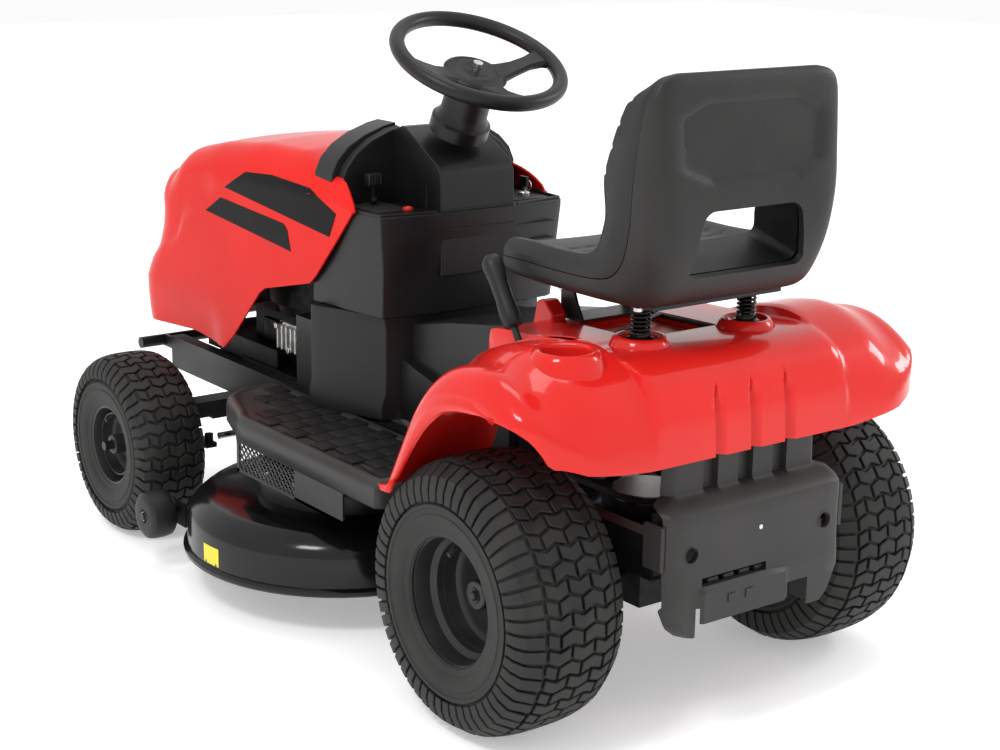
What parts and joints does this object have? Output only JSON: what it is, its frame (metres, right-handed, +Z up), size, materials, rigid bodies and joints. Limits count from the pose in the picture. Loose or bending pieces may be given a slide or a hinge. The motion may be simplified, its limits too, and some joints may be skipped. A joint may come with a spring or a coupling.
{
  "type": "riding lawn mower",
  "caption": "Lawn tractor with a front engine under a tilting hood, a sprung seat, a side-discharge deck slung between the axles, and turf tyres.",
  "frame": {"origin": "on the ground, on the mid plane, halfway along the machine's length", "axes": "+X towards the driver's left, -Y forwards, +Z up"},
  "size_m": [1.01, 1.807, 1.0911],
  "materials": {
    "red_panel": "glossy bright red moulded panel",
    "black_panel": "satin black moulded plastic with a fine grain",
    "trim_gloss": "glossy black trim",
    "frame_steel": "black powder coat",
    "deck_paint": "glossy black paint",
    "rim_paint": "satin black paint",
    "tyre_rubber": "black rubber with moulded turf blocks",
    "seat_skin": "grained black seat foam skin",
    "seat_back": "textured black moulded seat back",
    "wheel_grip": "fine grained black steering wheel",
    "mat_rubber": "black ribbed rubber mat",
    "spring_steel": "black coated spring wire",
    "cast_aluminium": "cast and machined aluminium",
    "zinc_steel": "zinc plated steel",
    "blade_steel": "dark ground steel",
    "lamp_lens": "clear lamp lens",
    "yellow_knob": "yellow moulded knob",
    "tank_plastic": "translucent white tank plastic",
    "belt_rubber": "black V-belt"
  },
  "bodies": {
    "root": {"frame_rail_left": "frame_steel", "frame_rail_right": "frame_steel", "axle_carrier": "frame_steel", "hitch_plate": "frame_steel", "front_bumper": "frame_steel", "engine_block": "cast_aluminium", "engine_cowl": "black_panel", "muffler": "zinc_steel", "fuel_tank": "tank_plastic", "battery": "black_panel", "transaxle": "cast_aluminium", "drive_belt": "belt_rubber", "drive_pulleys": "zinc_steel", "console": "black_panel", "column_shroud": "black_panel", "footrest_left": "black_panel", "footrest_right": "black_panel", "foot_mats": "mat_rubber", "side_guard_left": "black_panel", "side_guard_right": "black_panel", "rear_body": "red_panel", "rear_cover": "black_panel", "seat_bracket": "frame_steel"},
    "hood": {"hood_shell": "red_panel", "hood_grille": "black_panel", "headlights": "lamp_lens", "hood_trim": "trim_gloss"},
    "seat": {"seat_shell": "seat_back", "seat_cushion": "seat_skin", "seat_springs": "spring_steel"},
    "steering": {"steering_wheel": "wheel_grip", "steering_shaft": "zinc_steel"},
    "front_axle": {"axle_beam": "frame_steel"},
    "spindle_left": {"spindle_left": "frame_steel"},
    "spindle_right": {"spindle_right": "frame_steel"},
    "tie_rod": {"tie_rod": "zinc_steel"},
    "wheel_front_left": {"tyre_front_left": "tyre_rubber", "rim_front_left": "rim_paint"},
    "wheel_front_right": {"tyre_front_right": "tyre_rubber", "rim_front_right": "rim_paint"},
    "wheel_rear_left": {"tyre_rear_left": "tyre_rubber", "rim_rear_left": "rim_paint"},
    "wheel_rear_right": {"tyre_rear_right": "tyre_rubber", "rim_rear_right": "rim_paint"},
    "deck": {"deck_shell": "deck_paint", "belt_cover": "black_panel", "blade_housings": "cast_aluminium", "roller_bracket": "frame_steel", "deck_hangers": "frame_steel"},
    "blade_left": {"blade_left": "blade_steel"},
    "blade_right": {"blade_right": "blade_steel"},
    "deck_roller": {"deck_roller": "black_panel"},
    "discharge_guard": {"discharge_guard": "black_panel"},
    "height_lever": {"height_lever": "black_panel"},
    "throttle_lever": {"throttle_lever": "black_panel"},
    "pto_knob": {"pto_knob": "yellow_knob"},
    "ignition_key": {"ignition_key": "zinc_steel"},
    "brake_pedal": {"brake_pedal": "frame_steel"},
    "drive_pedal": {"drive_pedal": "frame_steel"}
  },
  "joints": [
    {"name": "hood_hinge", "type": "hinge", "parent": "root", "child": "hood", "pos_m": [0, -0.848, 0.4], "axis": [1, 0, 0], "range_deg": [0, 60]},
    {"name": "seat_hinge", "type": "hinge", "parent": "root", "child": "seat", "pos_m": [0, 0.447, 0.668], "axis": [1, 0, 0], "range_deg": [0, 65]},
    {"name": "axle_rock", "type": "hinge", "parent": "root", "child": "front_axle", "pos_m": [0, -0.578, 0.232], "axis": [0, 1, 0], "range_deg": [-6, 6]},
    {"name": "kingpin_left", "type": "hinge", "parent": "front_axle", "child": "spindle_left", "pos_m": [0.275, -0.578, 0.1868], "axis": [0, 0, 1], "range_deg": [-25, 25]},
    {"name": "kingpin_right", "type": "hinge", "parent": "front_axle", "child": "spindle_right", "pos_m": [-0.275, -0.578, 0.1868], "axis": [0, 0, 1], "range_deg": [-25, 25]},
    {"name": "tie_rod_slide", "type": "slide", "parent": "front_axle", "child": "tie_rod", "axis": [1, 0, 0], "range_m": [-0.041, 0.041]},
    {"name": "steering_column", "type": "hinge", "parent": "root", "child": "steering", "pos_m": [0, 0.095, 1.012], "axis": [0, 0.4226, 0.9063], "range_deg": [-151, 151]},
    {"name": "wheel_spin_front_left", "type": "hinge", "parent": "spindle_left", "child": "wheel_front_left", "pos_m": [0.3796, -0.578, 0.1868], "axis": [1, 0, 0], "continuous": true},
    {"name": "wheel_spin_front_right", "type": "hinge", "parent": "spindle_right", "child": "wheel_front_right", "pos_m": [-0.3796, -0.578, 0.1868], "axis": [1, 0, 0], "continuous": true},
    {"name": "wheel_spin_rear_left", "type": "hinge", "parent": "root", "child": "wheel_rear_left", "pos_m": [0.3377, 0.612, 0.227], "axis": [1, 0, 0], "continuous": true},
    {"name": "wheel_spin_rear_right", "type": "hinge", "parent": "root", "child": "wheel_rear_right", "pos_m": [-0.3377, 0.612, 0.227], "axis": [1, 0, 0], "continuous": true},
    {"name": "deck_lift", "type": "slide", "parent": "root", "child": "deck", "axis": [0, 0, 1], "range_m": [-0.05, 0]},
    {"name": "height_lever_pivot", "type": "hinge", "parent": "root", "child": "height_lever", "pos_m": [0.232, 0.592, 0.505], "axis": [1, 0, 0], "range_deg": [-25, 0]},
    {"name": "blade_spin_left", "type": "hinge", "parent": "deck", "child": "blade_left", "pos_m": [0.244, -0.086, 0.15], "axis": [0, 0, 1], "continuous": true},
    {"name": "blade_spin_right", "type": "hinge", "parent": "deck", "child": "blade_right", "pos_m": [-0.244, -0.05, 0.15], "axis": [0, 0, 1], "continuous": true},
    {"name": "roller_spin", "type": "hinge", "parent": "deck", "child": "deck_roller", "pos_m": [0.47, -0.321, 0.115], "axis": [1, 0, 0], "continuous": true},
    {"name": "guard_hinge", "type": "hinge", "parent": "deck", "child": "discharge_guard", "pos_m": [-0.405, -0.068, 0.203], "axis": [0, 1, 0], "range_deg": [0, 80], "stiffness_Nm_per_rad": 0.4},
    {"name": "throttle_pivot", "type": "hinge", "parent": "root", "child": "throttle_lever", "pos_m": [0.15, -0.028, 0.75], "axis": [1, 0, 0], "range_deg": [-20, 20]},
    {"name": "pto_pull", "type": "slide", "parent": "root", "child": "pto_knob", "axis": [0, 0, 1], "range_m": [0, 0.012]},
    {"name": "key_turn", "type": "hinge", "parent": "root", "child": "ignition_key", "pos_m": [-0.165, 0.022, 0.741], "axis": [0, 0, -1], "range_deg": [0, 90]},
    {"name": "brake_pedal_pivot", "type": "hinge", "parent": "root", "child": "brake_pedal", "pos_m": [-0.3, -0.228, 0.375], "axis": [1, 0, 0], "range_deg": [0, 20], "stiffness_Nm_per_rad": 3},
    {"name": "drive_pedal_pivot", "type": "hinge", "parent": "root", "child": "drive_pedal", "pos_m": [-0.33, -0.088, 0.375], "axis": [1, 0, 0], "range_deg": [0, 18], "stiffness_Nm_per_rad": 3}
  ],
  "couplings": [
    {"joint": "kingpin_right", "follows": "kingpin_left", "ratio": 1},
    {"joint": "steering_column", "follows": "kingpin_left", "ratio": 6},
    {"joint": "tie_rod_slide", "follows": "kingpin_left", "m_per_rad": -0.0915},
    {"joint": "height_lever_pivot", "follows": "deck_lift", "rad_per_m": 8.7},
    {"joint": "blade_spin_right", "follows": "blade_spin_left", "ratio": 1}
  ]
}
